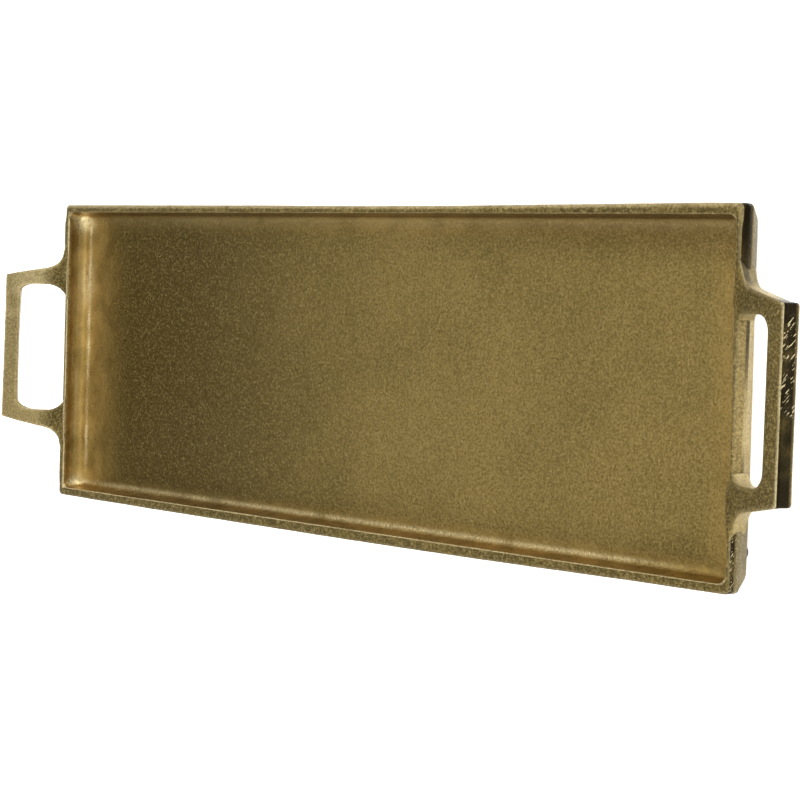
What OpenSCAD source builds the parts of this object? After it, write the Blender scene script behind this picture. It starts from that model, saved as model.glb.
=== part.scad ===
// Rectangular cast brass serving tray with two upswept loop handles, standing on four rubber feet.
// Millimetres, +Z up. The origin is on the surface that the feet stand on, under the middle of the
// tray. X runs along the tray, from the left handle to the right one, and Y runs across it.

/* [Pan] */
// Length of the pan over its rim, without the handles
rim_length = 572; // [480:1:640]
// Width of the pan over its rim
rim_width = 203; // [200:1:240]
// Height of the pan from its underside to the rim face
pan_height = 16.4; // [14:0.1:22]
// Width of the flat rim face
rim_face = 5.2; // [4:0.1:8]
// Thickness of the floor
floor_thickness = 3.2; // [2:0.1:5]
// Height of the upright ground band below the rim face
band_height = 7.6; // [4:0.1:9]
// Slope of the cast wall below the band, in degrees from upright
skirt_draft = 19; // [5:1:30]
// Slope of the inner wall, in degrees from upright
well_draft = 10; // [3:1:20]

/* [Pan edges] */
// Plan radius of the rim's outer corners
rim_corner = 4; // [3:0.5:12]
// Plan radius of the underside's corners
base_corner = 10; // [8:0.5:20]
// Plan radius of the well's corners at the rim face
well_corner = 5.5; // [3:0.5:12]
// Plan radius of the well's corners at the floor
well_floor_corner = 8; // [4:0.5:14]
// Radius of the rounded edge round the underside
base_edge = 1.8; // [1:0.1:3]
// Radius of the fillet between the inner wall and the floor
floor_fillet = 4; // [2:0.1:6]
// Width of the rim face that is left between the arms of a handle
gap_face = 2.6; // [1:0.1:3.5]
// Depth of the bevel on the rim between the arms of a handle
gap_bevel_depth = 4; // [1:0.1:6]

/* [Handles] */
// Reach of a handle's top edge beyond the rim
handle_reach = 41.2; // [36:0.1:50]
// Half of the handle's width at its outer end
end_half_width = 50.5; // [48:0.5:60]
// Half of the handle's width where its arms meet the rim
root_half_width = 58; // [54:0.5:66]
// Radius of the concave fillet outside each arm's root
root_fillet = 13; // [6:0.5:18]
// Width of the grip bar, seen from above
bar_width = 12; // [8:0.1:14]
// Half of the length of the finger hole
hole_half_length = 44.5; // [42:0.5:46]
// Corner radius of the finger hole on the bar's side
hole_bar_radius = 9; // [4:0.5:11]
// Corner radius of the finger hole on the pan's side
hole_pan_radius = 14; // [8:0.5:16]
// Thickness of the handle, square to its top face
handle_thickness = 9.6; // [6:0.1:11]
// Slope of the root of the arms, in degrees
root_slope = 30; // [20:1:34]
// Slope of the middle of the arms, in degrees
arm_slope = 22; // [12:1:28]
// Slope of the grip bar, in degrees
bar_slope = 15.5; // [5:0.5:20]
// Lean of the grip bar's outer side, in degrees from upright
bar_side_lean = 21; // [10:1:26]
// Width of the bevel under the outer edge of the grip bar
bar_bevel = 1.6; // [1:0.1:4]

/* [Feet] */
// Diameter of a rubber foot
foot_diameter = 10.5; // [7:0.5:12]
// Height of the pan's underside above the surface that it stands on
foot_height = 4.4; // [2.5:0.1:6]
// Diameter of the flat on the bottom of a foot
foot_flat = 6; // [3:0.5:6]
// Distance from the rim's end to the middle of a front foot
front_foot_end_inset = 8.6; // [8:0.1:20]
// Distance from the rim's end to the middle of a rear foot
rear_foot_end_inset = 12; // [8:0.1:20]
// Distance from the rim's long side to the middle of a foot
foot_side_inset = 22; // [10:0.5:40]
// Thickness of the adhesive disc that holds a foot
adhesive_thickness = 0.2; // [0.1:0.05:0.5]
// Diameter of the adhesive disc
adhesive_diameter = 7.6; // [5:0.1:8]

/* [Hidden] */
$fn = 64;

LEFT = -1;
RIGHT = 1;
FRONT = -1;
REAR = 1;

brass = "#96824f";
rubber = "#2b2a29";
adhesive = "#b9b6aa";

base_z = foot_height;
rim_z = base_z + pan_height;
well_depth = pan_height - floor_thickness;
skirt_height = pan_height - band_height;
// Thickness of the level slices that the drafted blocks are stretched over
slice = 0.05;
// How far a cutting shape runs past the face that it cuts
overrun = 1;

// Rise of the handle's root above the rim face at the rim's inner edge
root_step = 0.4;
root_run = rim_face + 9.4;
bar_run = 9.8;
arm_run = handle_reach + rim_face - root_run - bar_run;

// Distance from the rim's outer edge to the bevel's top edge, and half the bevel's length
gap_face_inset = rim_face - gap_face;
gap_half_length = hole_half_length - 6;

// A rectangle with rounded corners, centred on the origin
module rounded_rectangle(length, width, radius) {
    square([length - 2 * radius, width], center = true);
    square([length, width - 2 * radius], center = true);
    for (x = [-1, 1], y = [-1, 1])
        translate([x * (length / 2 - radius), y * (width / 2 - radius)])
            circle(radius);
}

// Inset of a drafted wall at a height above its foot, where the wall's top has no inset
function wall_inset(height, depth, draft) = (depth - height) * tan(draft);

// [height, inset] levels that follow a rounded bottom edge up into a drafted wall
function edge_levels(depth, draft, radius, steps = 6) =
    let (touch = radius - radius * sin(draft))
    let (centre = wall_inset(touch, depth, draft) + radius * cos(draft))
    [for (i = [0 : steps])
        let (turn = -90 + (90 - draft) * i / steps)
        [radius + radius * sin(turn), centre - radius * cos(turn)]];

// A rounded block that narrows downwards, with a rounded bottom edge, standing on z = 0
module drafted_block(length, width, depth, draft, edge, top_corner, bottom_corner, rise = 0) {
    levels = concat(edge_levels(depth, draft, edge), [[depth - slice, 0], [depth + rise - slice, 0]]);
    widest = levels[0][1];
    hull()
        for (level = levels)
            let (share = level[1] / widest)
            translate([0, 0, level[0]])
                linear_extrude(slice)
                    rounded_rectangle(length - 2 * level[1], width - 2 * level[1],
                        top_corner + (bottom_corner - top_corner) * share);
}

// Space cut from the rim's outer edge between the arms of the handle at the right end
module gap_bevel() {
    inner = rim_length / 2 - gap_face_inset;
    outer = rim_length / 2 + overrun;
    translate([0, gap_half_length, 0])
        rotate([90, 0, 0])
            linear_extrude(2 * gap_half_length)
                polygon([
                    [inner, rim_z], [inner, rim_z + overrun], [outer, rim_z + overrun],
                    [outer, rim_z - gap_bevel_depth], [rim_length / 2, rim_z - gap_bevel_depth]
                ]);
}

// The cast pan: floor, drafted walls and rim, with its well open upwards
module tray_pan() {
    color(brass)
        difference() {
            union() {
                translate([0, 0, rim_z - band_height])
                    linear_extrude(band_height)
                        rounded_rectangle(rim_length, rim_width, rim_corner);
                translate([0, 0, base_z])
                    drafted_block(rim_length, rim_width, skirt_height, skirt_draft,
                        base_edge, rim_corner, base_corner);
            }
            translate([0, 0, base_z + floor_thickness])
                drafted_block(rim_length - 2 * rim_face, rim_width - 2 * rim_face, well_depth,
                    well_draft, floor_fillet, well_corner, well_floor_corner, overrun);
            gap_bevel();
            mirror([1, 0, 0])
                gap_bevel();
        }
}

// Points round the concave fillet outside one arm's root, from the arm to the rim's outer edge
function root_fillet_points(steps = 12) =
    let (lean = atan((root_half_width - end_half_width) / handle_reach))
    let (centre = [root_fillet, root_half_width + root_fillet * tan((90 - lean) / 2)])
    [for (i = [0 : steps])
        let (turn = 270 - lean - (90 - lean) * i / steps)
        centre + root_fillet * [cos(turn), sin(turn)]];

// The finger hole, open towards the pan
module finger_hole() {
    inner = -rim_face - 0.6;
    outer = handle_reach - bar_width;
    pan_y = hole_half_length - hole_pan_radius;
    bar_y = hole_half_length - hole_bar_radius;
    for (side = [-1, 1]) {
        translate([inner + hole_pan_radius, side * pan_y])
            circle(hole_pan_radius);
        translate([outer - hole_bar_radius, side * bar_y])
            circle(hole_bar_radius);
    }
    polygon([
        [inner, -pan_y], [inner + hole_pan_radius, -hole_half_length],
        [outer - hole_bar_radius, -hole_half_length], [outer, -bar_y],
        [outer, bar_y], [outer - hole_bar_radius, hole_half_length],
        [inner + hole_pan_radius, hole_half_length], [inner, pan_y]
    ]);
}

// The handle's outline from above; x = 0 is the rim's outer edge
module handle_outline() {
    past_end = handle_reach + handle_thickness;
    fillet = root_fillet_points();
    rear_half = concat(
        [[past_end, end_half_width], [handle_reach, end_half_width]], fillet,
        [[-rim_face, fillet[len(fillet) - 1][1]]]);
    front_half = [for (i = [len(rear_half) - 1 : -1 : 0]) [rear_half[i][0], -rear_half[i][1]]];
    difference() {
        polygon(concat(rear_half, front_half));
        finger_hole();
    }
}

// A step of a given length down a slope and square to it, as [along, up]
function along(slope, run) = [run, run * tan(slope)];
function square_down(slope, length) = [length * sin(slope), -length * cos(slope)];

// The handle's side view; x = 0 is the rim's outer edge and y = 0 the rim face
module handle_side() {
    root_start = [-rim_face, root_step];
    root_end = root_start + along(root_slope, root_run);
    arm_end = root_end + along(arm_slope, arm_run);
    tip = arm_end + along(bar_slope, bar_run);
    end_low = tip + square_down(bar_side_lean, handle_thickness - bar_bevel);
    under_tip = tip + square_down(bar_side_lean, handle_thickness)
        - bar_bevel * [cos(bar_slope), sin(bar_slope)];
    under_arm = arm_end + square_down((arm_slope + bar_slope) / 2, handle_thickness);
    under_root = root_end + square_down((root_slope + arm_slope) / 2, handle_thickness);
    wall_low = -pan_height + base_edge + 1;
    wall_low_x = -(-wall_low - band_height) * tan(skirt_draft);
    polygon([
        root_start, root_end, arm_end, tip, end_low, under_tip, under_arm, under_root,
        under_root + [-5.2, -4.4], under_root + [-9.4, -8.6],
        [wall_low_x, wall_low], [0, -band_height], [0, 0], [-rim_face, 0]
    ]);
}

// One loop handle, at the right end: its arms lap the rim face and stand against the wall
module handle() {
    color(brass)
        translate([rim_length / 2, 0, 0])
            intersection() {
                linear_extrude(rim_z + handle_reach)
                    handle_outline();
                translate([0, end_half_width * 2, rim_z])
                    rotate([90, 0, 0])
                        linear_extrude(end_half_width * 4)
                            handle_side();
            }
}

// Moves a shape to the place of one foot
module at_foot(end, side) {
    end_inset = side == FRONT ? front_foot_end_inset : rear_foot_end_inset;
    translate([end * (rim_length / 2 - end_inset), side * (rim_width / 2 - foot_side_inset), 0])
        children();
}

// One rubber bumper foot, domed towards its flat bottom
module foot(end, side) {
    radius = foot_diameter / 2;
    flat = foot_flat / 2;
    top = foot_height - adhesive_thickness;
    crown = top * 0.7;
    steps = 8;
    dome = [for (i = [0 : steps])
        let (turn = 90 * i / steps)
        [flat + (radius - flat) * sin(turn), crown * (1 - cos(turn))]];
    color(rubber)
        at_foot(end, side)
            rotate_extrude()
                polygon(concat([[0, 0]], dome, [[radius, top], [0, top]]));
}

// The thin adhesive disc between a foot and the pan's underside
module foot_adhesive(end, side) {
    color(adhesive)
        at_foot(end, side)
            translate([0, 0, foot_height - adhesive_thickness])
                cylinder(h = adhesive_thickness, d = adhesive_diameter);
}

tray_pan();
mirror([1, 0, 0]) handle();  // left_handle
handle();  // right_handle
foot(LEFT, FRONT);  // foot_front_left
foot(RIGHT, FRONT);  // foot_front_right
foot(LEFT, REAR);  // foot_rear_left
foot(RIGHT, REAR);  // foot_rear_right
foot_adhesive(LEFT, FRONT);  // foot_adhesive_front_left
foot_adhesive(RIGHT, FRONT);  // foot_adhesive_front_right
foot_adhesive(LEFT, REAR);  // foot_adhesive_rear_left
foot_adhesive(RIGHT, REAR);  // foot_adhesive_rear_right
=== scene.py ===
import math

import bpy
import numpy as np
from mathutils import Matrix, Vector, noise


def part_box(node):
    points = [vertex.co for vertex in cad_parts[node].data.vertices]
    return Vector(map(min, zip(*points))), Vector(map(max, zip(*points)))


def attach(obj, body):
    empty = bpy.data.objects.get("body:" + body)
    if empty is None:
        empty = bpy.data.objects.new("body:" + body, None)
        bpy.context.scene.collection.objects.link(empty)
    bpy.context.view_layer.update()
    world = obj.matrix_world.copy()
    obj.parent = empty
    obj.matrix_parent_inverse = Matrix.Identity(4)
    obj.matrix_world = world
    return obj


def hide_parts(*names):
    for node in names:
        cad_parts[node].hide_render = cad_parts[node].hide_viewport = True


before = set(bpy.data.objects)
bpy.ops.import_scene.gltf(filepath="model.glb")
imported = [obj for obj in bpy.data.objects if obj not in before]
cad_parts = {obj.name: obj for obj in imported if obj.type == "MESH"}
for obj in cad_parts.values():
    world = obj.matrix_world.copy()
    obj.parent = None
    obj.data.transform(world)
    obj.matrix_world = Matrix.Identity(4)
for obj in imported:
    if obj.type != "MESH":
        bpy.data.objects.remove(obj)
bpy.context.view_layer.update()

# A cast brass tray with loop handles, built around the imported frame. The tray's sizes are in
# millimetres and become metres only in new_mesh and at(). Materials, lights and the floor are in
# metres. +Z is up, and X runs along the tray.

MM = 0.001


def in_mm(corner):
    return np.array(corner) / MM


pan_low, pan_high = (in_mm(c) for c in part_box("tray_pan"))
HALF_LENGTH, RIM_Z = pan_high[0], pan_high[2]
BASE_Z = pan_low[2]
# The casting's rim is a little narrower than the CAD model's straight one, as its sides bow out
HALF_WIDTH = pan_high[1] - 1.5

# Sizes of the casting, as in the CAD model
RIM_FACE = 5.2
FLOOR_THICKNESS = 3.2
BAND_HEIGHT = 7.6
SKIRT_DRAFT = math.radians(19)
WELL_DRAFT = math.radians(10)
RIM_CORNER = 3.2
BASE_CORNER = 10.0
REAR_BASE_CORNER = 9.0
WELL_CORNER = 5.5
WELL_FLOOR_CORNER = 8.0
BASE_EDGE = 1.8
FLOOR_FILLET = 4.0
GAP_FACE = 2.6
GAP_DEPTH = 5.0
GAP_HALF_LENGTH = 45.0
# Radii of the rim face's outer and inner edges
OUTER_EDGE = 0.55
INNER_EDGE = 0.7
# How far the well's walls lean in at their foot, and where that foot lies
WALL_RUN = 2.3
WELL_HALF_LENGTH = HALF_LENGTH - RIM_FACE - WALL_RUN
WELL_HALF_WIDTH = HALF_WIDTH - RIM_FACE - WALL_RUN
# The rim face's outer part, which the pale outer edge, rubbed and with a painted highlight, spreads over
OUTER_PART_WIDTH = 2.8

HANDLE_REACH = 39.2
END_HALF_WIDTH = 50.5
ROOT_HALF_WIDTH = 58.0
BAR_WIDTH = 11.3
HANDLE_THICKNESS = 10.2
ROOT_SLOPE, ARM_SLOPE, BAR_SLOPE = (math.radians(a) for a in (30, 22, 15.5))
BAR_SIDE_LEAN = math.radians(21)
BAR_BEVEL = 1.6
ROOT_STEP = 0.4
ROOT_RUN = RIM_FACE + 9.4
BAR_RUN = 9.8
BAR_CORNER = 1.2
UNDERSIDE_BEVEL = 1.6
FILED_DEPTH = 8.2


def smoothstep(low, high, x):
    t = np.clip((np.asarray(x, float) - low) / (high - low), 0, 1)
    return t * t * (3 - 2 * t)


def lumps(points, wavelength, seed):
    """Smooth random heights from about -1 to 1, the same each run."""
    shift = Vector((17.3 * seed, -9.1 * seed, 4.7 * seed))
    return np.array([noise.noise(Vector(p) / wavelength + shift) for p in points])


def new_mesh(name, points, faces, attributes, material):
    """A smooth-shaded mesh object from points in mm, with one float attribute per name."""
    mesh = bpy.data.meshes.new(name)
    mesh.from_pydata([tuple(p) for p in np.asarray(points) * MM], [], faces)
    mesh.validate()
    for key, values in attributes.items():
        layer = mesh.attributes.new(key, "FLOAT", "POINT")
        layer.data.foreach_set("value", np.asarray(values, np.float32))
    mesh.polygons.foreach_set("use_smooth", [True] * len(mesh.polygons))
    mesh.materials.append(material)
    made = bpy.data.objects.new(name, mesh)
    bpy.context.scene.collection.objects.link(made)
    return made


def vertex_normals(points, faces):
    mesh = bpy.data.meshes.new("scratch")
    mesh.from_pydata([tuple(p) for p in points], [], faces)
    normals = np.zeros(len(points) * 3, np.float32)
    mesh.vertices.foreach_get("normal", normals)
    bpy.data.meshes.remove(mesh)
    return normals.reshape(-1, 3)


# ---------------------------------------------------------------- the pan

# Segments along a long side, along a short side and in half a corner
LONG, SHORT, HALF_CORNER = 232, 84, 6


def corner_points(length, radius, half_width):
    """Half a rounded corner, from mid-corner to the side's start, as (along, out) points."""
    turn = np.linspace(-math.pi / 4, 0, HALF_CORNER + 1)
    return np.stack([-length + radius + radius * np.sin(turn),
                     half_width - radius + radius * np.cos(turn)], 1)


def side_points(length, first_radius, last_radius, half_width, segments):
    """One side of a rounded rectangle, from mid-corner to mid-corner, as (along, out) points."""
    first = corner_points(length, first_radius, half_width)
    last = corner_points(length, last_radius, half_width)[::-1] * [-1, 1]
    along = np.linspace(first_radius - length, length - last_radius, segments + 1)[1:-1]
    middle = np.stack([along, np.full(segments - 1, half_width)], 1)
    return np.concatenate([first, middle, last])


def rounded_loop(half_x, half_y, front_radius, rear_radius):
    """A rounded rectangle's points, anticlockwise from the corner at +X, -Y."""
    right = side_points(half_y, front_radius, rear_radius, half_x, SHORT)
    rear = side_points(half_x, rear_radius, rear_radius, half_y, LONG)
    left = side_points(half_y, rear_radius, front_radius, half_x, SHORT)
    front = side_points(half_x, front_radius, front_radius, half_y, LONG)
    sides = [right[:, ::-1], rear * [-1, 1], -left[:, ::-1], front * [1, -1]]
    return np.concatenate([side[:-1] for side in sides])


def edge_levels(depth, draft, radius, steps):
    """(height, inset) up a rounded bottom edge into a drafted wall, as in the CAD model."""
    touch = radius - radius * math.sin(draft)
    centre = (depth - touch) * math.tan(draft) + radius * math.cos(draft)
    turns = [-math.pi / 2 + (math.pi / 2 - draft) * i / steps for i in range(steps + 1)]
    return [(radius + radius * math.sin(t), centre - radius * math.cos(t)) for t in turns]


def between(start, end, steps):
    """Evenly spaced values after start, up to and including end."""
    return [start + (end - start) * (i + 1) / steps for i in range(steps)]


def pan_levels():
    """Rings of the pan's surface from the underside, up the outside and down into the well. Each is
    (inset, z, (front, rear) corner radii, inset and z between a handle's arms, ground, wear, wall)."""
    levels = []

    def add(inset, z, corner, gap=None, ground=0.0, wear_and_highlight=0.0, wall=0.0):
        gap = gap or (inset, z)
        corners = corner if isinstance(corner, tuple) else (corner, corner)
        levels.append((inset, z, corners, gap[0], gap[1], ground, wear_and_highlight, wall))

    def skirt_corners(inset):
        share = inset / widest
        base_corners = (BASE_CORNER, REAR_BASE_CORNER)
        return tuple(RIM_CORNER + (corner - RIM_CORNER) * share for corner in base_corners)

    skirt_top = RIM_Z - BAND_HEIGHT
    skirt = edge_levels(skirt_top - BASE_Z, SKIRT_DRAFT, BASE_EDGE, 5)
    widest = skirt[0][1]
    for height, inset in skirt:
        add(inset, BASE_Z + height, skirt_corners(inset), wear_and_highlight=0.06)
    for inset in between(skirt[-1][1], 0.25, 5):
        z = skirt_top - inset / math.tan(SKIRT_DRAFT)
        add(inset, z, skirt_corners(inset), wear_and_highlight=0.06)
    add(0.05, skirt_top - 0.1, RIM_CORNER, ground=1.0, wear_and_highlight=0.06)
    add(0.0, skirt_top + 0.6, RIM_CORNER, ground=1.0, wear_and_highlight=0.06)
    bevel_low = RIM_Z - GAP_DEPTH
    band_gap = between(skirt_top + 0.6, bevel_low - 0.3, 7)
    for z, gap_z in zip(between(skirt_top + 0.6, RIM_Z - OUTER_EDGE, 7), band_gap):
        add(0.0, z, RIM_CORNER, (0.0, gap_z), ground=1.0, wear_and_highlight=0.06)
    rounding = [(OUTER_EDGE * (1 - math.cos(t)), RIM_Z - OUTER_EDGE * (1 - math.sin(t)))
                for t in (math.radians(a) for a in (25, 50, 75, 90))]
    bevel = RIM_FACE - GAP_FACE
    round_gap = [(0.25, bevel_low + 0.1), (0.34 * bevel, bevel_low + 0.32 * GAP_DEPTH),
                 (0.67 * bevel, bevel_low + 0.66 * GAP_DEPTH), (0.96 * bevel, RIM_Z - 0.12)]
    # The outer edge's rounding is pale: rubbed, with a painted highlight.
    for (inset, z), gap in zip(rounding, round_gap):
        add(inset, z, RIM_CORNER - inset, gap, ground=0.3, wear_and_highlight=0.6)
    face_end = RIM_FACE - INNER_EDGE
    face_gap = between(bevel + 0.25, face_end, 4)
    for inset, gap in zip(between(OUTER_EDGE + 0.3, face_end, 4), face_gap):
        add(inset, RIM_Z, RIM_CORNER - inset * 0.1, (gap, RIM_Z))
    # The inner edge's rounding is pale: rubbed, with a painted highlight.
    for angle in (25, 50, 75):
        t = math.radians(angle)
        add(face_end + INNER_EDGE * math.sin(t), RIM_Z - INNER_EDGE * (1 - math.cos(t)), WELL_CORNER,
            wear_and_highlight=1.0)
    well = edge_levels(RIM_Z - BASE_Z - FLOOR_THICKNESS, WELL_DRAFT, FLOOR_FILLET, 7)
    well_widest = well[0][1]
    floor_z = BASE_Z + FLOOR_THICKNESS

    def well_corner(inset):
        return WELL_CORNER + (WELL_FLOOR_CORNER - WELL_CORNER) * (inset / well_widest)

    # The second level lies just under the first, so that the pale edge, rubbed and with a painted highlight,
    # doesn't fade down the wall
    top = RIM_Z - 0.8
    for z in [top, top - 0.3] + between(top - 0.3, floor_z + well[-1][0], 5):
        inset = (RIM_Z - z) * math.tan(WELL_DRAFT)
        wear_and_highlight = 1.0 if z == top else 0.0
        add(RIM_FACE + inset, z, well_corner(inset), wall=1.0, wear_and_highlight=wear_and_highlight)
    for height, inset in well[-2::-1]:
        wall = min(1.0, height / FLOOR_FILLET + 0.2)
        add(RIM_FACE + inset, floor_z + height, well_corner(inset), wall=wall)
    return levels


def patch(loop):
    """Fills a loop with a grid of quads. Returns the inner points and the faces as index grids."""
    nx, ny = LONG + 2 * HALF_CORNER, SHORT + 2 * HALF_CORNER
    index = np.arange(len(loop))
    right, rear = index[:ny + 1], index[ny:ny + nx + 1]
    left = index[ny + nx:2 * ny + nx + 1]
    front = np.append(index[2 * ny + nx:], 0)
    grid = np.full((nx + 1, ny + 1), -1)
    grid[nx, :], grid[:, ny] = right, rear[::-1]
    grid[0, :], grid[:, 0] = left[::-1], front
    u = np.linspace(0, 1, nx + 1)[1:-1, None, None]
    v = np.linspace(0, 1, ny + 1)[None, 1:-1, None]
    west, east = loop[grid[0, 1:-1]][None], loop[grid[nx, 1:-1]][None]
    south, north = loop[grid[1:-1, 0]][:, None], loop[grid[1:-1, ny]][:, None]
    c00, c10, c01, c11 = (loop[grid[i, j]] for i, j in ((0, 0), (nx, 0), (0, ny), (nx, ny)))
    inner = ((1 - u) * west + u * east + (1 - v) * south + v * north
             - (1 - u) * (1 - v) * c00 - u * (1 - v) * c10 - (1 - u) * v * c01 - u * v * c11)
    grid[1:-1, 1:-1] = len(loop) + np.arange((nx - 1) * (ny - 1)).reshape(nx - 1, ny - 1)
    return inner.reshape(-1, loop.shape[1]), grid


def grid_faces(grid, index_of, flip):
    a, b, c, d = grid[:-1, :-1], grid[1:, :-1], grid[1:, 1:], grid[:-1, 1:]
    quads = np.stack([a, b, c, d] if not flip else [a, d, c, b], -1).reshape(-1, 4)
    return [[index_of[i] for i in quad] for quad in quads.tolist()]


def hand_trued(ring, inset, in_gap):
    """Moves the rim's outer edge in and out as on the hand-ground casting. The long sides bow, the
    right end is ground to a slant near its top, and its skirt and its inner wall lie a little askew."""
    x, y, z = ring[:, 0], ring[:, 1], ring[:, 2]
    share = 0.0 if inset >= RIM_FACE else 1 - smoothstep(1.5, RIM_FACE, inset) * (z > RIM_Z - 1)
    along = [-1.0, -0.65, -0.3, 0.0, 0.3, 0.55, 0.75, 0.9, 1.0]
    front = np.interp(x / HALF_LENGTH, along, [0.2, 0.9, 1.2, 1.45, 1.3, 0.9, 0.3, 0.2, 0.0])
    rear = np.interp(x / HALF_LENGTH, along, [0.0, -0.1, -0.3, -0.7, -0.5, 0.1, 0.6, 0.9, 0.8])
    moved = ring.copy()
    moved[:, 1] += share * (smoothstep(60, 92, y) * rear - smoothstep(60, 92, -y) * front)
    slant = np.clip((z - (RIM_Z - 3.8)) / 3.8, 0, 1) * (1 - in_gap)
    slant *= smoothstep(HALF_LENGTH - 26, HALF_LENGTH - 1, x)
    moved[:, 0] -= share * slant * np.interp(y, [-100, -58, 58, 100], [1.3, 1.5, 2.2, 2.4])
    shoulder = 1.2 * smoothstep(86, 94, y) + 0.4 * smoothstep(86, 94, -y)
    shoulder = shoulder * max(0.0, 1 - inset / OUTER_PART_WIDTH) ** 2
    moved[:, 2] -= shoulder * smoothstep(RIM_Z - 4, RIM_Z - 1, z)
    low = np.clip((RIM_Z - 8 - z) / 8, 0, 1) * smoothstep(HALF_LENGTH - 40, HALF_LENGTH - 12, x)
    if inset < RIM_FACE:
        moved[:, 0] += low * np.interp(y, [-100, -40, 40, 100], [1.2, 1.2, 0.0, -0.5])
    inner = smoothstep(0.8, RIM_FACE, inset) * smoothstep(BASE_Z + 5, RIM_Z - 3, z)
    inner *= smoothstep(HALF_LENGTH - 22, HALF_LENGTH - 7, x)
    moved[:, 0] += inner * np.interp(y, [-95, -60, -35, 0, 40, 90], [1.2, 1.9, 2.1, 1.0, 0.0, -0.6])
    return moved


def ground_share(ring, in_gap):
    """How far a point of the rim's outer face is in the ground band along its top, which is painted
    dark as a painted dark reflection: the band is deep at the rear of the ends, shallow at their front
    and patchy between a handle's arms."""
    depth = RIM_Z - ring[:, 2]
    limit = np.interp(ring[:, 1], [-70, -40, 40, 70], [3.4, 5.0, 6.6, 6.6])
    limit = np.where(np.abs(ring[:, 0]) > HALF_LENGTH - 4, limit, 3.2)
    limit += in_gap * 2.6
    patchy = np.interp(ring[:, 1], [-44, -34, -24, -2, 14, 40], [0.9, 0.6, 0.0, 0.05, 0.6, 1.0])
    return (1 - smoothstep(limit - 0.8, limit + 0.8, depth)) * (1 - in_gap * (1 - patchy))


def dished(points):
    """Raises the well's floor in a soft curve towards its walls, most of all at the left end."""
    x, y, z = points[:, 0], points[:, 1], points[:, 2]
    floor_z = BASE_Z + FLOOR_THICKNESS
    from_left = WELL_HALF_LENGTH + x
    broad_left = np.maximum(0, 1 - from_left / 46) ** 2 * 1.9
    sag = broad_left + np.maximum(0, 1 - from_left / 10.5) ** 1.5 * 1.3
    right = (WELL_HALF_LENGTH - x, 16, 0.5)
    front = (WELL_HALF_WIDTH + y, 10, 0.7)
    rear = (WELL_HALF_WIDTH - y, 13, 0.7)
    for gap, reach, rise in (right, front, rear):
        sag = np.maximum(sag, np.maximum(0, 1 - gap / reach) ** 2 * rise)
    inside = (np.abs(x) < WELL_HALF_LENGTH + 2.4) * (np.abs(y) < WELL_HALF_WIDTH + 2.4)
    inside = (z > floor_z - 0.5) * inside
    raised = points.copy()
    raised[:, 2] += inside * sag * (1 - smoothstep(floor_z, floor_z + 10, z))
    return raised


def smooth_share(points):
    """How smooth the casting is inside the well: fully on its walls, and fading over the floor."""
    x, y = points[:, 0], points[:, 1]
    left = 0.9 * (1 - smoothstep(12, 58, WELL_HALF_LENGTH + x))
    right = 0.5 * (1 - smoothstep(2, 26, WELL_HALF_LENGTH - x))
    front = 0.6 * (1 - smoothstep(1, 10, WELL_HALF_WIDTH + y))
    rear = 0.45 * (1 - smoothstep(2, 16, WELL_HALF_WIDTH - y))
    return np.max([left, right, front, rear], axis=0)


def bell(distance, width):
    """1 where the distance is nil, fading smoothly over about the given width."""
    return np.exp(-(distance / width) ** 2)


def highlight_and_wear_spots(points):
    """Paler places inside the well: painted highlights where the fillets and corners catch the light,
    along with places rubbed pale. They are a broken line along the foot of the left wall's fillet, the
    left corners, the upper left wall and softer lines along the long sides."""
    x, y = points[:, 0], points[:, 1]
    from_left = WELL_HALF_LENGTH + x
    from_front = WELL_HALF_WIDTH + y
    from_rear = WELL_HALF_WIDTH - y
    broken = 0.4 + 0.6 * smoothstep(-0.35, 0.25, lumps(points, 16.0, 5))
    upper_left = 0.10 * (1 - smoothstep(-1, 3, from_left))
    spots = [
        bell(from_left - 7.2, 1.0) * broken * smoothstep(-88, -70, y),
        0.5 * bell(from_left - 6, 4.5) * bell(y - 46, 14),
        upper_left * smoothstep(-0.2, 0.5, lumps(points, 9.0, 6)),
        0.55 * bell(from_front - 1.6, 1.3) * (1 - smoothstep(200, 262, x)),
        0.08 * bell(from_rear - 3.0, 3.0),
        0.34 * bell(from_front + 1.0, 2.0) * (1 - smoothstep(-240, -120, x)),
        1.0 * np.exp(-(from_left ** 2 + (from_front + 1.0) ** 2) / 26.0),
        0.7 * np.exp(-((from_left - 2) ** 2 + (from_rear - 4.0) ** 2) / 60.0),
    ]
    return np.max(spots, axis=0)


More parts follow.
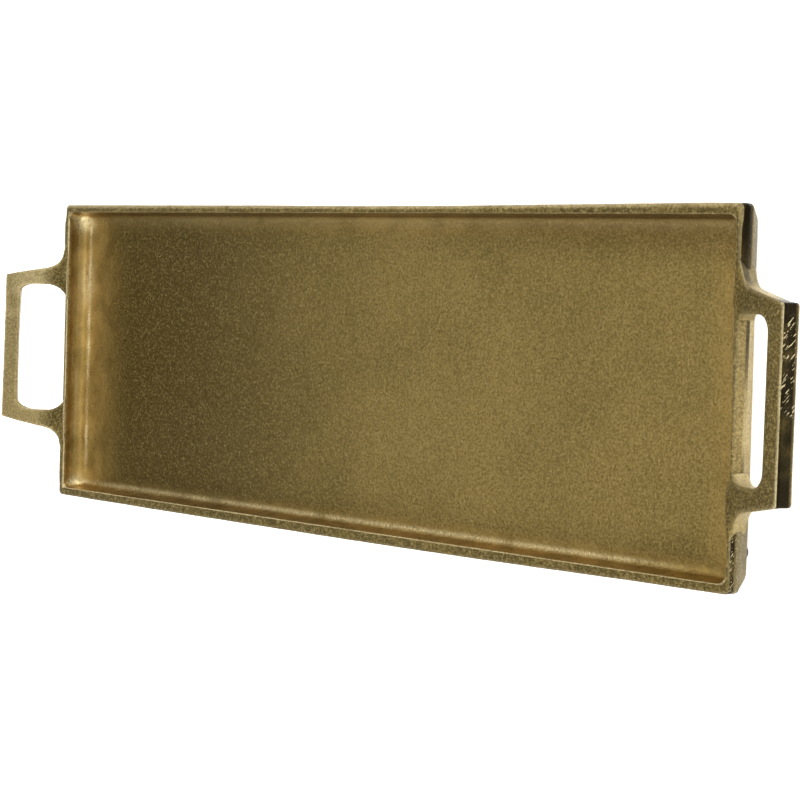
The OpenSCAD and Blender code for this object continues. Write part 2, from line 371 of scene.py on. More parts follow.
def pan_traits(ring, inset, share, bevelled, is_ground, wear_and_highlight_level, is_wall):
    """Material attributes of one ring of the pan. Share is how far each point is between a handle's
    arms, and bevelled how far it is on the bevel there."""
    x, y, z = ring[:, 0], ring[:, 1], ring[:, 2]
    on_rear, on_front = smoothstep(86, 94, y), smoothstep(86, 94, -y)
    ground = is_ground * ground_share(ring, share) * (1 - 0.9 * bevelled)
    wear_and_highlight = np.full(len(ring), wear_and_highlight_level)
    # The outer part of the rim face is paler along the rear and dimmer along the front: a painted highlight
    # over the rubbed edge.
    outer_face = inset < OUTER_PART_WIDTH and z[0] > RIM_Z - 2.5
    if outer_face:
        wear_and_highlight = np.maximum(wear_and_highlight, on_rear * 0.5 * (1 - inset / OUTER_PART_WIDTH))
        wear_and_highlight = wear_and_highlight * (1 - 0.6 * on_front)
    low_gap = share * (z < RIM_Z - GAP_DEPTH) * (inset < RIM_FACE)
    wear_and_highlight = np.maximum(wear_and_highlight * (1 - 0.5 * share), 0.14 * bevelled)
    wear_and_highlight = wear_and_highlight * (1 - 0.5 * (x > HALF_LENGTH - 5) * outer_face)
    wear_and_highlight = np.maximum(wear_and_highlight, 0.35 * low_gap * (1 - ground))
    ground = ground * np.interp(y, [30, 40, 66, 84], [1.0, 0.82, 0.90, 1.0])
    # A pale line near the inner edge of the left end's rim face: a painted highlight on a rubbed edge.
    left_edge = (x < 5.6 - HALF_LENGTH) * (z > RIM_Z - 1.2) * smoothstep(3.4, 4.2, inset)
    wear_and_highlight = np.maximum(wear_and_highlight, 0.85 * left_edge)
    on_face = 0.62 * (z > RIM_Z - 1.4) * (inset < RIM_FACE)
    root = np.maximum(on_face * (1 - 0.5 * on_rear * (inset < 2.4)), 0.35 * bevelled)
    outer = 0.2 * (inset < RIM_FACE) * (z < RIM_Z - 1.4)
    # The inner edge is kept dimmer along the rear side.
    if inset > RIM_FACE - 1:
        wear_and_highlight = wear_and_highlight * (1 - 0.7 * on_rear)
    skirt = float(z[0] < RIM_Z - BAND_HEIGHT + 0.2 and is_wall == 0)
    skirt = np.maximum(skirt, is_ground * (wear_and_highlight_level < 0.5) * (1 - ground)) * (1 - share)
    filed = ground * (x > 0) * smoothstep(58, 66, -y)
    return {"skirt": skirt, "ground": ground, "filed": filed, "wear_and_highlight": wear_and_highlight,
            "wall": np.full(len(ring), is_wall), "root": np.maximum(root, outer)}


def make_pan(material):
    """The pan: its rings joined by quads, and closed by a patch at the underside and one in the well."""
    levels = pan_levels()
    rings, kept = [], {key: [] for key in ("skirt", "ground", "filed", "wear_and_highlight", "wall", "root")}
    for inset, z, corner, gap_inset, gap_z, is_ground, wear_and_highlight_level, is_wall in levels:
        loop = rounded_loop(HALF_LENGTH - inset, HALF_WIDTH - inset, *corner)
        at_end = (np.abs(loop[:, 0]) > HALF_LENGTH - RIM_FACE - 8) * 1.0
        front_end = GAP_HALF_LENGTH - 9.0 * (loop[:, 1] < 0)
        share = at_end * (1 - smoothstep(front_end - 1.5, GAP_HALF_LENGTH, np.abs(loop[:, 1])))
        x = loop[:, 0] - np.sign(loop[:, 0]) * (gap_inset - inset) * share
        height = z + (gap_z - z) * share
        ring = hand_trued(np.stack([x, loop[:, 1], height], 1), inset, share)
        rings.append(ring)
        bevelled = share * (gap_inset > inset + 0.05)
        for key, values in pan_traits(ring, inset, share, bevelled, is_ground, wear_and_highlight_level, is_wall).items():
            kept[key].append(values)
    count = len(rings[0])
    points = np.concatenate(rings)
    faces = []
    for k in range(len(rings) - 1):
        for i in range(count):
            j = (i + 1) % count
            faces.append([k * count + i, k * count + j, (k + 1) * count + j, (k + 1) * count + i])
    kept = {key: np.concatenate(values) for key, values in kept.items()}
    for ring, flip in ((0, True), (len(rings) - 1, False)):
        inner, grid = patch(rings[ring])
        index_of = [ring * count + i for i in range(count)]
        index_of += [len(points) + i for i in range(len(inner))]
        faces += grid_faces(grid, index_of, flip)
        points = np.concatenate([points, inner])
        kept = {key: np.concatenate([values, np.zeros(len(inner))]) for key, values in kept.items()}
    in_well = points[:, 2] > BASE_Z + FLOOR_THICKNESS - 0.5
    in_well &= np.abs(points[:, 1]) < HALF_WIDTH - RIM_FACE - 0.2
    in_well &= np.abs(points[:, 0]) < HALF_LENGTH - RIM_FACE - 0.2
    kept["wall"] = np.where(in_well, np.maximum(kept["wall"], smooth_share(points)), kept["wall"])
    # Inside the well, painted highlights along the fillets and in the corners, with rubbed places, are added
    # to the pale marks.
    kept["wear_and_highlight"] = np.where(in_well, np.maximum(kept["wear_and_highlight"], highlight_and_wear_spots(points)), kept["wear_and_highlight"])
    hollows = in_well * kept["wall"] * (0.2 + 0.3 * (points[:, 0] < 60 - HALF_LENGTH))
    points = roughen(dished(points), faces, 0.10, 0.05, hollows)
    return new_mesh("cast_pan", points, faces, kept, material)


def roughen(points, faces, broad, fine, hollows=0.0):
    """The unevenness of a sand casting: broad swells, finer lumps and the hollows left by dressing
    the walls, all square to the surface and mostly inwards."""
    normals = vertex_normals(points, faces)
    heights = broad * (lumps(points, 22.0, 1) - 0.5) + fine * (lumps(points, 6.5, 2) - 0.5)
    heights = heights + hollows * (lumps(points, 11.0, 3) - 0.6)
    return points + normals * heights[:, None]


# ---------------------------------------------------------------- the handles

def handle_profile():
    """The handle's side view, as in the CAD model: points (out from the rim, up from its face)."""
    def rise(slope, run):
        return np.array([run, run * math.tan(slope)])

    def square_down(slope, length):
        return np.array([length * math.sin(slope), -length * math.cos(slope)])

    arm_run = HANDLE_REACH + RIM_FACE - ROOT_RUN - BAR_RUN
    start = np.array([-RIM_FACE, ROOT_STEP])
    root_end = start + rise(ROOT_SLOPE, ROOT_RUN)
    arm_end = root_end + rise(ARM_SLOPE, arm_run)
    tip = arm_end + rise(BAR_SLOPE, BAR_RUN)
    top = [start, root_end, arm_end, tip, tip + rise(BAR_SLOPE, 10)]
    under_tip = tip + square_down(BAR_SLOPE, HANDLE_THICKNESS)
    under_arm = arm_end + square_down((ARM_SLOPE + BAR_SLOPE) / 2, HANDLE_THICKNESS)
    under_root = root_end + square_down((ROOT_SLOPE + ARM_SLOPE) / 2, HANDLE_THICKNESS)
    under = [(-8, -13.0), (-1.6, -12.4), under_root + [-9.4, -8.6], under_root + [-5.2, -4.4],
             under_root, under_arm, under_tip]
    return np.array(top), np.array([np.asarray(p, float) for p in under])


TOP_LINE, UNDER_LINE = handle_profile()


def softened(line, x, reach):
    """Height of a polyline at x, with its kinks rounded over that reach."""
    offsets = np.linspace(-reach, reach, 7)
    return np.mean([np.interp(x + o, line[:, 0], line[:, 1]) for o in offsets], axis=0)


def top_height(u):
    return softened(TOP_LINE, np.maximum(u, -RIM_FACE + 1.2), 1.2) - np.maximum(-RIM_FACE + 1.2 - u, 0) * 0.5


def under_height(u):
    return softened(UNDER_LINE, u, 2.0)


def arc(centre, radius, start, end, steps):
    turns = np.radians(np.linspace(start, end, steps + 1))
    return [np.array([centre[0] + radius * math.cos(t), centre[1] + radius * math.sin(t)]) for t in turns]


def line(start, end, steps):
    return [np.asarray(start, float) + (np.asarray(end, float) - np.asarray(start, float)) * i / steps
            for i in range(steps + 1)]


def half_loop(root_half_width, end_half_width, root_fillet, hole_half, bar_radius, pan_side, pan_radius):
    """Matching points on the outer and the inner outline, from mid-bar to the root of one arm. Each
    is (outer, inner, lean, undercut): how much the outer side has of the bar's lean, and how much of
    the metal under the finger hole's edge is chamfered away. The finger hole's corners have
    bar_radius at the bar and pan_radius at the pan, where its side lies at pan_side from the rim."""
    lean_angle = math.atan((root_half_width - end_half_width) / HANDLE_REACH)
    lean_degrees = math.degrees(lean_angle)
    tangent = root_fillet * math.tan((math.pi / 2 - lean_angle) / 2)
    touch = (tangent * math.cos(lean_angle), root_half_width - tangent * math.sin(lean_angle))
    fillet_centre = (root_fillet, root_half_width + tangent)
    bar_inner = HANDLE_REACH - BAR_WIDTH
    bar_y = hole_half - bar_radius
    end = (HANDLE_REACH, end_half_width - BAR_CORNER)
    corner_centre = (HANDLE_REACH - BAR_CORNER, end_half_width - BAR_CORNER)
    corner_arc = arc(corner_centre, BAR_CORNER, 0, 90 - lean_degrees, 4)
    mid_arm = 27.5
    past_corner = (mid_arm, np.interp(mid_arm, [0, HANDLE_REACH], [root_half_width, end_half_width]))
    hole_centre = (bar_inner - bar_radius, bar_y)
    pan_centre = (pan_side + pan_radius, hole_half - pan_radius)
    root_y = root_half_width + tangent
    stretches = [
        (line((HANDLE_REACH, 0), (HANDLE_REACH, bar_y + 6), 26),
         line((bar_inner, 0), (bar_inner, bar_y), 26), (1, 1), (1, 1)),
        (line((HANDLE_REACH, bar_y + 6), end, 4)[:-1] + corner_arc,
         arc(hole_centre, bar_radius, 0, 45, 8), (1, 1), (1, 0.7)),
        (line(corner_arc[-1], past_corner, 8),
         arc(hole_centre, bar_radius, 45, 90, 8), (0, 0), (0.7, 0.2)),
        (line(past_corner, touch, 9),
         line((bar_inner - bar_radius, hole_half), (pan_centre[0], hole_half), 9),
         (0, 0), (0.2, 0)),
        (arc(fillet_centre, root_fillet, 270 - lean_degrees, 188, 14),
         arc(pan_centre, pan_radius, 90, 162, 14), (0, 0), (0, 0)),
        (line((0.12, root_y - 1.8), (-2.2, root_y + 4.0), 8),
         line((-RIM_FACE + 0.25, hole_half + 0.5), (-RIM_FACE + 0.25, root_y - 4), 8),
         (0, 0), (0, 0)),
    ]
    stations = []
    for k, (outer, inner, leans, undercuts) in enumerate(stretches):
        count = min(len(outer), len(inner))
        for i in range(0 if k == 0 else 1, count):
            share = i / (count - 1)
            lean, undercut = (np.interp(share, (0, 1), pair) for pair in (leans, undercuts))
            stations.append((outer[i], inner[i], lean, undercut))
    return stations


def section(outer, inner, lean, undercut):
    """Closed ring of points round the handle's metal between an outer and an inner outline point.
    Each point is (x, y, z, ground, wear)."""
    across = inner - outer
    width = np.linalg.norm(across)
    across = across / width
    edge = 0.9 - 0.35 * lean
    ring = []

    def out_side(depth):
        """A point of the outer side, at a depth down it."""
        slide = lean * math.sin(BAR_SIDE_LEAN) * depth
        drop = depth * (1 - lean * (1 - math.cos(BAR_SIDE_LEAN)))
        return outer + np.array([slide, 0]), drop

    outer_top = float(top_height(outer[0]))
    outer_low = float(under_height(outer[0]))
    inner_top = float(top_height(inner[0]))
    inner_low = float(under_height(inner[0]))
    side_depth = (outer_top - outer_low) * (1 - lean) + HANDLE_THICKNESS * lean
    bevel = BAR_BEVEL * lean + UNDERSIDE_BEVEL * (1 - lean)
    near_root = float(1 - smoothstep(6, 16, outer[0]))
    # Outer side, from the bevel up to the top edge; on the arms it is paler, a painted highlight on rubbed
    # metal
    for depth in [side_depth - bevel] + between(side_depth - bevel, edge * 1.1, 6):
        place, drop = out_side(depth)
        ground = 1.0 if depth < FILED_DEPTH else 0.6
        ring.append((*place, outer_top - drop, ground, 0.4 * (1 - lean)))
    # The outer top edge is paler, most of all along the bar: rubbed, with a painted highlight.
    for angle in (30, 60, 90):
        t = math.radians(angle)
        place = outer + across * edge * (1 - math.cos(t))
        ring.append((*place, float(top_height(place[0])) - edge * (1 - math.sin(t)), 0.15,
                     max(0.95 * lean, 0.2, 0.6 * near_root)))
    for share in np.linspace(0, 1, 9)[1:-1]:
        place = outer + across * (edge + (width - 2 * edge) * share)
        ring.append((*place, float(top_height(place[0])), 0.0, 0.0))
    for angle in (90, 60, 30, 0):
        t = math.radians(angle)
        place = inner - across * edge * (1 - math.cos(t))
        ring.append((*place, float(top_height(place[0])) - edge * (1 - math.sin(t)), 0.0, 0.15))
    low_edge = UNDERSIDE_BEVEL + (inner_top - edge - 0.2 - inner_low - UNDERSIDE_BEVEL) * undercut
    # The inner side is paler where it isn't chamfered away: a painted highlight.
    for z in between(inner_top - edge, inner_low + low_edge, 4):
        ring.append((*inner, z, 0.0, 0.45 * (1 - undercut)))
    for angle in (30, 60, 90):
        t = math.radians(angle)
        cut = low_edge * ((1 - math.cos(t)) * (1 - undercut) + 0.85 * undercut * angle / 90)
        rise = low_edge * ((1 - math.sin(t)) * (1 - undercut) + undercut * (1 - angle / 90))
        place = inner - across * cut
        ring.append((*place, float(under_height(place[0])) + rise, 0.0, 0.1))
    foot_place, _ = out_side(side_depth)
    foot_place = foot_place + across * bevel
    for share in np.linspace(0, 1, 6)[1:]:
        start = inner - across * cut
        place = start + (foot_place - start) * share
        ring.append((*place, float(under_height(place[0])), 0.0, 0.0))
    place, drop = out_side(side_depth - bevel * 0.5)
    middle = place + across * bevel * 0.5
    middle_z = (outer_top - drop + float(under_height(foot_place[0]))) / 2 - bevel * 0.12
    ring.append((*middle, middle_z, 0.1, 0.3))
    return np.array(ring)


def as_set_on_the_left(points):
    """Shifts points of the left handle: its bar runs out of square and its front arm is set in."""
    u, y, z = points[:, 0], points[:, 1], points[:, 2]
    reach_share = smoothstep(4, 36, u)
    toward_front = np.clip((50 - y) / 100, 0, 1)
    moved = points.copy()
    moved[:, 0] += reach_share * (0.6 + 1.0 * toward_front)
    moved[:, 2] += reach_share * 0.7 * toward_front
    moved[:, 1] += 2.4 * smoothstep(22, 44, -y)
    return moved


def arm_outlines(side):
    """The rear and the front half of a handle's outline. The casting's four arms all differ a
    little, and the left finger hole reaches in over the rim face."""
    if side > 0:
        rear = half_loop(root_half_width=60.0, end_half_width=51.0, root_fillet=10.0, hole_half=44.5,
                         bar_radius=9.0, pan_side=0.3, pan_radius=5.0)
        front = half_loop(root_half_width=58.0, end_half_width=50.5, root_fillet=13.0, hole_half=42.7,
                          bar_radius=9.0, pan_side=0.3, pan_radius=8.0)
        return rear, front
    over_rim = -RIM_FACE - 0.6
    rear = half_loop(root_half_width=58.0, end_half_width=51.2, root_fillet=13.0, hole_half=44.9,
                     bar_radius=6.0, pan_side=over_rim, pan_radius=14.0)
    front = half_loop(root_half_width=58.0, end_half_width=50.5, root_fillet=13.0, hole_half=44.5,
                      bar_radius=8.0, pan_side=over_rim, pan_radius=14.0)
    return rear, front


def make_handle(side, material):
    """One handle, swept from its front root round to its rear one. Side is 1 for the right."""
    rear, front = arm_outlines(side)
    to_front = [1, -1]
    rings = [section(outer * to_front, inner * to_front, *shares) for outer, inner, *shares in front[:0:-1]]
    rings += [section(outer, inner, *shares) for outer, inner, *shares in rear]
    count = len(rings[0])
    stacked = np.concatenate(rings)
    # The arms' roots sink into the rim face beside them
    u, y, z = stacked[:, 0], stacked[:, 1], stacked[:, 2]
    sunk = smoothstep(ROOT_HALF_WIDTH - 8, ROOT_HALF_WIDTH + 9, np.abs(y)) * (1 - smoothstep(2, 16, u))
    stacked[:, 2] = np.where(z > 0.1, 0.1 + (z - 0.1) * (1 - sunk), z)
    if side < 0:
        stacked[:, :3] = as_set_on_the_left(stacked[:, :3])
    u, y, z = stacked[:, 0], stacked[:, 1], stacked[:, 2]
    points = np.stack([side * (HALF_LENGTH + u), y, RIM_Z + z], 1)
    faces = []
    for k in range(len(rings) - 1):
        for i in range(count):
            j = (i + 1) % count
            quad = [k * count + i, k * count + j, (k + 1) * count + j, (k + 1) * count + i]
            faces.append(quad if side > 0 else quad[::-1])
    last = (len(rings) - 1) * count
    caps = [list(range(count))[::-1], [last + i for i in range(count)]]
    faces += caps if side > 0 else [cap[::-1] for cap in caps]
    # The bar's outer end and the upper part of the right rear root's outer side take the ground band's
    # painted dark reflection.
    ground = stacked[:, 3] * smoothstep(26, 38, u)
    rear_root = (y > 54) * (1 - smoothstep(2.0, 9.0, u)) * (side > 0)
    ground = np.maximum(ground, 0.85 * stacked[:, 3] * rear_root)
    top_face = z > top_height(np.minimum(u, HANDLE_REACH)) - 1.5
    arms = 0.25 + 0.35 * (side > 0)
    root = np.where(top_face, arms + (1 - arms) * (1 - smoothstep(8.5, 10.5, u)), 0.1)
    points = roughen(points, faces, 0.08, 0.05)
    wear_and_highlight = stacked[:, 4]
    # The handles' pale marks are rubbed edges with painted highlights. On the right handle they are mostly
    # taken off the rear arm's inner side and halved on the front arm's outer side.
    if side > 0:
        wear_and_highlight = wear_and_highlight * (1 - 0.9 * (y > 30) * (y < 47) * (1 - top_face))
        wear_and_highlight = wear_and_highlight * (1 - 0.5 * (y < -47) * (1 - top_face))
    else:
        # On the left handle, the rim face's pale inner edge line runs on under the arm roots, and the top is
        # paler beyond the root, more so towards the rear.
        wear_and_highlight = np.maximum(wear_and_highlight, 0.85 * (u < -RIM_FACE + 0.8) * (z > -1.5))
        wear_and_highlight = wear_and_highlight + top_face * (0.20 + 0.22 * smoothstep(0, 48, y)) * smoothstep(2, 12, u)
    kept = {"ground": ground, "filed": ground, "wear_and_highlight": wear_and_highlight, "root": root}
    kept.update({"wall": np.zeros(len(points)), "skirt": np.zeros(len(points))})
    name = "cast_handle_right" if side > 0 else "cast_handle_left"
    return new_mesh(name, points, faces, kept, material)


# ---------------------------------------------------------------- materials

def build(tree, kind, inputs=(), **settings):
    """One shader node, with each input either set to a value or linked to another node's output."""
    made = tree.nodes.new(kind)
    for key, value in settings.items():
        setattr(made, key, value)
    for key, value in dict(inputs).items():
        if isinstance(value, bpy.types.NodeSocket):
            tree.links.new(value, made.inputs[key])
        else:
            made.inputs[key].default_value = value
    return made


def calc(tree, operation, first, second, clamped=False):
    return build(tree, "ShaderNodeMath", {0: first, 1: second}, operation=operation,
                 use_clamp=clamped).outputs[0]


def blend(tree, share, first, second):
    """A colour between two others."""
    first, second = ((*c, 1) if isinstance(c, tuple) else c for c in (first, second))
    return build(tree, "ShaderNodeMix", {0: share, 6: first, 7: second}, data_type="RGBA").outputs[2]


def spread(tree, value, low, high, to_low=0.0, to_high=1.0):
    """Maps a value from one range to another, easing in and out."""
    return build(tree, "ShaderNodeMapRange",
                 {"Value": value, "From Min": low, "From Max": high, "To Min": to_low, "To Max": to_high},
                 interpolation_type="SMOOTHSTEP").outputs[0]


def noise_at(tree, place, scale, detail=2.0, roughness=0.5):
    return build(tree, "ShaderNodeTexNoise",
                 {"Vector": place, "Scale": scale, "Detail": detail, "Roughness": roughness}).outputs[0]


def attribute(tree, name):
    return build(tree, "ShaderNodeAttribute", attribute_name=name).outputs["Fac"]


def new_material(name, roughness, metallic=0.0):
    material = bpy.data.materials.new(name)
    material.use_nodes = True
    shader = material.node_tree.nodes["Principled BSDF"]
    shader.inputs["Roughness"].default_value = roughness
    shader.inputs["Metallic"].default_value = metallic
    return material, material.node_tree, shader


def grinding_scratches(tree, place):
    """Short bright file and grinder marks, slanting down the ground ends."""
    turned = build(tree, "ShaderNodeVectorRotate", {"Vector": place, "Angle": 0.72},
                   rotation_type="X_AXIS").outputs[0]
    stretched = build(tree, "ShaderNodeVectorMath", {0: turned, 1: (60.0, 300.0, 1700.0)},
                      operation="MULTIPLY").outputs[0]
    marks = spread(tree, noise_at(tree, stretched, 1.0, 1.0), 0.615, 0.675)
    toward_rear = build(tree, "ShaderNodeSeparateXYZ", {0: place}).outputs[1]
    scarce = spread(tree, toward_rear, -0.035, 0.030, 0.14, -0.03)
    scarce = calc(tree, "ADD", scarce, spread(tree, toward_rear, 0.0455, 0.0475, 0.0, 0.4))
    scarce = calc(tree, "ADD", scarce, spread(tree, toward_rear, -0.062, -0.055, -0.30, 0.0))
    patches = spread(tree, calc(tree, "SUBTRACT", noise_at(tree, place, 75.0, 1.0), scarce), 0.41, 0.53)
    return calc(tree, "MULTIPLY", calc(tree, "MULTIPLY", marks, patches), attribute(tree, "filed"))


def cast_brass():
    """Sand-cast brass with a dull antique finish: grainy, darker in its pits and paler where its
    edges have been rubbed and where highlights are painted on. The ground ends are painted nearly
    black, a painted dark reflection. Painted shade darkens the floor towards the left and along the
    foot of the rear wall, and darkens the rear wall and the skirt."""
    material, tree, shader = new_material("cast_brass", 0.42, 1.0)
    place = build(tree, "ShaderNodeTexCoord").outputs["Object"]
    ground, wear_and_highlight = attribute(tree, "ground"), attribute(tree, "wear_and_highlight")
    wall, root, skirt = attribute(tree, "wall"), attribute(tree, "root"), attribute(tree, "skirt")
    grain = noise_at(tree, place, 700.0, 4.0, 0.75)
    coarse = noise_at(tree, place, 230.0, 2.0, 0.5)
    patina_and_shade = noise_at(tree, place, 14.0, 3.0, 0.6)
    streaks = noise_at(tree, place, 55.0, 2.0, 0.5)
    pits = spread(tree, grain, 0.32, 0.54, 1.0, 0.0)
    peaks = spread(tree, grain, 0.46, 0.74)
    toward_right, toward_rear = build(tree, "ShaderNodeSeparateXYZ", {0: place}).outputs[:2]
    # Painted shade: the base colour is shifted darker towards the left end and a little lighter towards the
    # right, following the fall of the light.
    patina_and_shade = calc(tree, "ADD", patina_and_shade, spread(tree, toward_right, -0.26, 0.12, -0.16, 0.04))
    scratches = grinding_scratches(tree, place)

    color = blend(tree, spread(tree, patina_and_shade, 0.25, 0.70), (0.220, 0.161, 0.047), (0.298, 0.213, 0.065))
    wall_color = blend(tree, spread(tree, streaks, 0.35, 0.62), (0.36, 0.225, 0.060), (0.56, 0.355, 0.105))
    # Painted shade: the walls' colour is darkened along the rear wall.
    wall_color = blend(tree, spread(tree, toward_rear, 0.086, 0.093, 0.0, 0.75), wall_color, (0.20, 0.125, 0.035))
    color = blend(tree, calc(tree, "MULTIPLY", wall, 0.8), color, wall_color)
    # Painted shade: the floor, away from its walls and from the rim and arm roots, is darkened towards the
    # left end.
    left_floor_shade = calc(tree, "MULTIPLY", spread(tree, toward_right, -0.19, 0.04, 1.0, 0.0),
                      calc(tree, "MULTIPLY", spread(tree, root, 0.02, 0.15, 1.0, 0.0),
                           calc(tree, "SUBTRACT", 1.0, wall)))
    color = blend(tree, left_floor_shade, color, (0.092, 0.061, 0.013))
    # Painted shade along the foot of the rear wall, over the right half of the floor.
    rear_foot_shade = calc(tree, "MULTIPLY", spread(tree, toward_rear, 0.064, 0.089, 0.0, 0.6),
                    spread(tree, toward_right, 0.0, 0.22))
    rear_foot_shade = calc(tree, "MULTIPLY", rear_foot_shade, spread(tree, root, 0.02, 0.15, 1.0, 0.0))
    color = blend(tree, rear_foot_shade, color, (0.135, 0.083, 0.024))
    dark = spread(tree, streaks, 0.3, 0.6, 0.40, 0.85)
    dark = calc(tree, "MULTIPLY", dark, spread(tree, root, 0.3, 0.7))
    color = blend(tree, dark, color, (0.108, 0.084, 0.029))
    # Painted shade: the skirt and the unground part of the band are darkened to a greyish brown, as where
    # they reflect the shaded table close under the tray.
    color = blend(tree, calc(tree, "MULTIPLY", skirt, 0.85), color, (0.122, 0.103, 0.062))
    relief = calc(tree, "ADD", 0.60, calc(tree, "MULTIPLY", root, 1.1))
    relief = calc(tree, "SUBTRACT", relief, calc(tree, "MULTIPLY", skirt, 0.25))
    relief = calc(tree, "SUBTRACT", relief, calc(tree, "MULTIPLY", wall, 0.42), True)
    color = blend(tree, calc(tree, "MULTIPLY", pits, relief), color, (0.10, 0.068, 0.02))
    color = blend(tree, calc(tree, "MULTIPLY", peaks, relief), color, (0.52, 0.395, 0.155))
    # Pale brass on rubbed edges and on painted highlights, where edges, fillets and corners catch the light;
    # darker pits stay within it.
    pale_wear_and_highlight = calc(tree, "MULTIPLY", wear_and_highlight, spread(tree, streaks, 0.25, 0.5, 0.35, 1.0))
    color = blend(tree, pale_wear_and_highlight, color, (0.83, 0.69, 0.38))
    pits_in_pale_marks = calc(tree, "MULTIPLY", pits, spread(tree, wear_and_highlight, 0.08, 0.35, 0.0, 0.6))
    color = blend(tree, pits_in_pale_marks, color, (0.20, 0.15, 0.055))
    # Painted dark reflection: the ground bands are painted nearly black, standing in for the dark room their
    # faces reflect.
    ground_dark_reflection = calc(tree, "MULTIPLY", ground, spread(tree, streaks, 0.3, 0.55, 0.80, 1.0))
    color = blend(tree, ground_dark_reflection, color, (0.016, 0.012, 0.005))
    color = blend(tree, scratches, color, (0.66, 0.55, 0.31))
    tree.links.new(color, shader.inputs["Base Color"])

    dull = spread(tree, coarse, 0.3, 0.7, 0.32, 0.42)
    dull = calc(tree, "SUBTRACT", dull, calc(tree, "MULTIPLY", wear_and_highlight, 0.10))
    dull = calc(tree, "SUBTRACT", dull, calc(tree, "MULTIPLY", wall, 0.06))
    dull = calc(tree, "ADD", dull, calc(tree, "MULTIPLY", root, 0.12))
    tree.links.new(calc(tree, "SUBTRACT", dull, calc(tree, "MULTIPLY", ground, 0.08), True),
                   shader.inputs["Roughness"])

    height = calc(tree, "ADD", calc(tree, "MULTIPLY", grain, 1.0), calc(tree, "MULTIPLY", coarse, 0.45))
    calm = calc(tree, "SUBTRACT", 1.0, calc(tree, "MULTIPLY", wall, 0.75))
    calm = calc(tree, "SUBTRACT", calm, calc(tree, "MULTIPLY", ground, 0.5))
    calm = calc(tree, "ADD", calm, calc(tree, "MULTIPLY", root, 0.7))
    height = calc(tree, "MULTIPLY", height, calm)
    height = calc(tree, "SUBTRACT", height, calc(tree, "MULTIPLY", scratches, 0.4))
    bump = build(tree, "ShaderNodeBump", {"Height": height, "Strength": 1.0, "Distance": 0.0008})
    tree.links.new(bump.outputs[0], shader.inputs["Normal"])
    return material


def foot_rubber():
    """Black rubber with a faint bloom of dust."""
    material, tree, shader = new_material("foot_rubber", 0.6)
    place = build(tree, "ShaderNodeTexCoord").outputs["Object"]
    bloom = noise_at(tree, place, 300.0, 4.0, 0.65)
    color = blend(tree, spread(tree, bloom, 0.4, 0.75), (0.022, 0.022, 0.024), (0.050, 0.048, 0.045))
    tree.links.new(color, shader.inputs["Base Color"])
    tree.links.new(spread(tree, bloom, 0.3, 0.7, 0.5, 0.75), shader.inputs["Roughness"])
    fine = noise_at(tree, place, 1500.0, 2.0, 0.6)
    bump = build(tree, "ShaderNodeBump", {"Height": fine, "Strength": 0.4, "Distance": 0.0001})
    tree.links.new(bump.outputs[0], shader.inputs["Normal"])
    return material


def foot_adhesive():
    """Milky acrylic adhesive, a little cloudy and wavy at its edge."""
    material, tree, shader = new_material("foot_adhesive", 0.35)
    place = build(tree, "ShaderNodeTexCoord").outputs["Object"]
    cloud = noise_at(tree, place, 700.0, 3.0, 0.6)
    color = blend(tree, cloud, (0.66, 0.64, 0.57), (0.50, 0.47, 0.40))
    tree.links.new(color, shader.inputs["Base Color"])
    tree.links.new(spread(tree, cloud, 0.3, 0.7, 0.3, 0.5), shader.inputs["Roughness"])
    bump = build(tree, "ShaderNodeBump", {"Height": cloud, "Strength": 0.3, "Distance": 0.0001})
    tree.links.new(bump.outputs[0], shader.inputs["Normal"])
    return material


def lit_table():
    """The pale, matt, faintly lit table that the tray stands on."""
    material, tree, shader = new_material("lit_table", 0.95)
    shader.inputs["Base Color"].default_value = (0.92, 0.92, 0.915, 1)
    shader.inputs["Specular IOR Level"].default_value = 0.1
    shader.inputs["Emission Color"].default_value = (1, 1, 1, 1)
    shader.inputs["Emission Strength"].default_value = 0.85
    return material


# ---------------------------------------------------------------- the scene

def at(x, y, z):
    """A place in metres, from millimetres."""
    return Vector((x, y, z)) * MM


def add_camera():
    """The photograph's camera, fitted to the tray's edges with an assumed lens: near the right end,
    looking down and along the tray, turned so that the tray's length runs across the picture."""
    data = bpy.data.cameras.new("camera")
    data.sensor_width = 36.0
    data.lens = 99.0
    from_rim_middle = (949.614256, 56.386246, 917.280366)
    camera = bpy.data.objects.new("camera", data)
    right = Vector((0.71009307, 0.03219983, -0.70337117))
    down = Vector((0.06149284, -0.99797288, 0.01639401))
    forward = Vector((-0.70141747, -0.05489356, -0.71063368))
    camera.matrix_world = Matrix((right, -down, -forward)).transposed().to_4x4()
    camera.location = at(*from_rim_middle) + at(0, 0, RIM_Z)
    bpy.context.scene.collection.objects.link(camera)
    bpy.context.scene.camera = camera


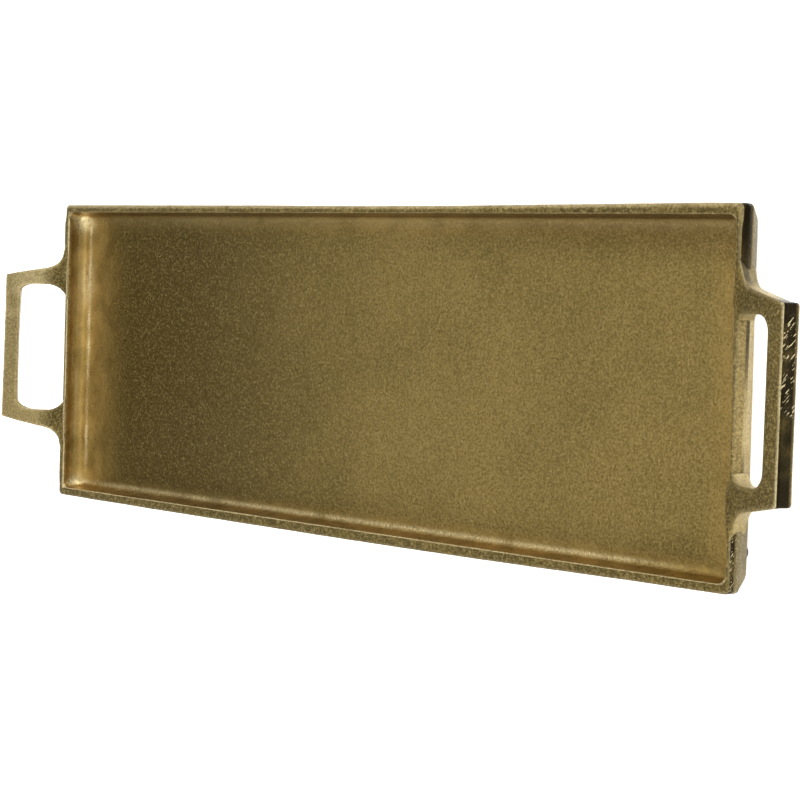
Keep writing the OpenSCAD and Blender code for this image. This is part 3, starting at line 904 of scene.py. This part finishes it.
def add_light(name, place, target, size, power):
    """A white rectangular softbox, with its places and size in metres."""
    data = bpy.data.lights.new(name, "AREA")
    data.shape = "RECTANGLE"
    data.size, data.size_y = size
    data.energy = power
    light = bpy.data.objects.new(name, data)
    light.location = place
    light.rotation_euler = (Vector(target) - Vector(place)).to_track_quat("-Z", "Y").to_euler()
    bpy.context.scene.collection.objects.link(light)


def add_floor():
    """The table, a tenth of a millimetre under the feet, so that they don't share a face with it."""
    half, z = 6.0, -0.0001
    mesh = bpy.data.meshes.new("floor")
    corners = [(-half, -half, z), (half, -half, z), (half, half, z), (-half, half, z)]
    mesh.from_pydata(corners, [], [(0, 1, 2, 3)])
    mesh.materials.append(lit_table())
    floor = bpy.data.objects.new("floor", mesh)
    bpy.context.scene.collection.objects.link(floor)


def add_world():
    """A white studio, dark far towards -X and dimmer towards +X than straight above."""
    world = bpy.data.worlds.new("studio")
    world.use_nodes = True
    tree = world.node_tree
    direction = build(tree, "ShaderNodeTexCoord").outputs["Generated"]
    toward = build(tree, "ShaderNodeSeparateXYZ", {0: direction}).outputs[0]
    strength = spread(tree, toward, -0.81, -0.50, 0.03, 1.05)
    strength = calc(tree, "ADD", strength, spread(tree, toward, -0.45, -0.20, 0.0, 0.38))
    strength = calc(tree, "SUBTRACT", strength, spread(tree, toward, 0.05, 0.5, 0.0, 0.70))
    tree.links.new(strength, tree.nodes["Background"].inputs["Strength"])
    tree.nodes["Background"].inputs["Color"].default_value = (1, 1, 1, 1)
    bpy.context.scene.world = world


brass = cast_brass()
pan = make_pan(brass)
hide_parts("tray_pan")
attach(pan, "root")
for side, cad_name in ((-1, "left_handle"), (1, "right_handle")):
    handle = make_handle(side, brass)
    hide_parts(cad_name)
    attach(handle, "root")
rubber, adhesive = foot_rubber(), foot_adhesive()
for name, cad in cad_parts.items():
    if name.startswith("foot_"):
        cad.data.materials.clear()
        cad.data.materials.append(adhesive if "adhesive" in name else rubber)

add_floor()
add_world()
add_light("front_softbox", (0.0, -1.3, 0.95), (0, 0, 0), (1.3, 0.5), 3.8)
add_light("rear_softbox", (0.0, 1.3, 0.95), (0, 0, 0), (1.3, 0.5), 3.8)
add_light("low_wall_light", (-2.2, 0.0, 0.40), (0.3, 0, 0.03), (3.0, 0.5), 4.5)
add_camera()
bpy.context.scene.view_settings.view_transform = "Standard"
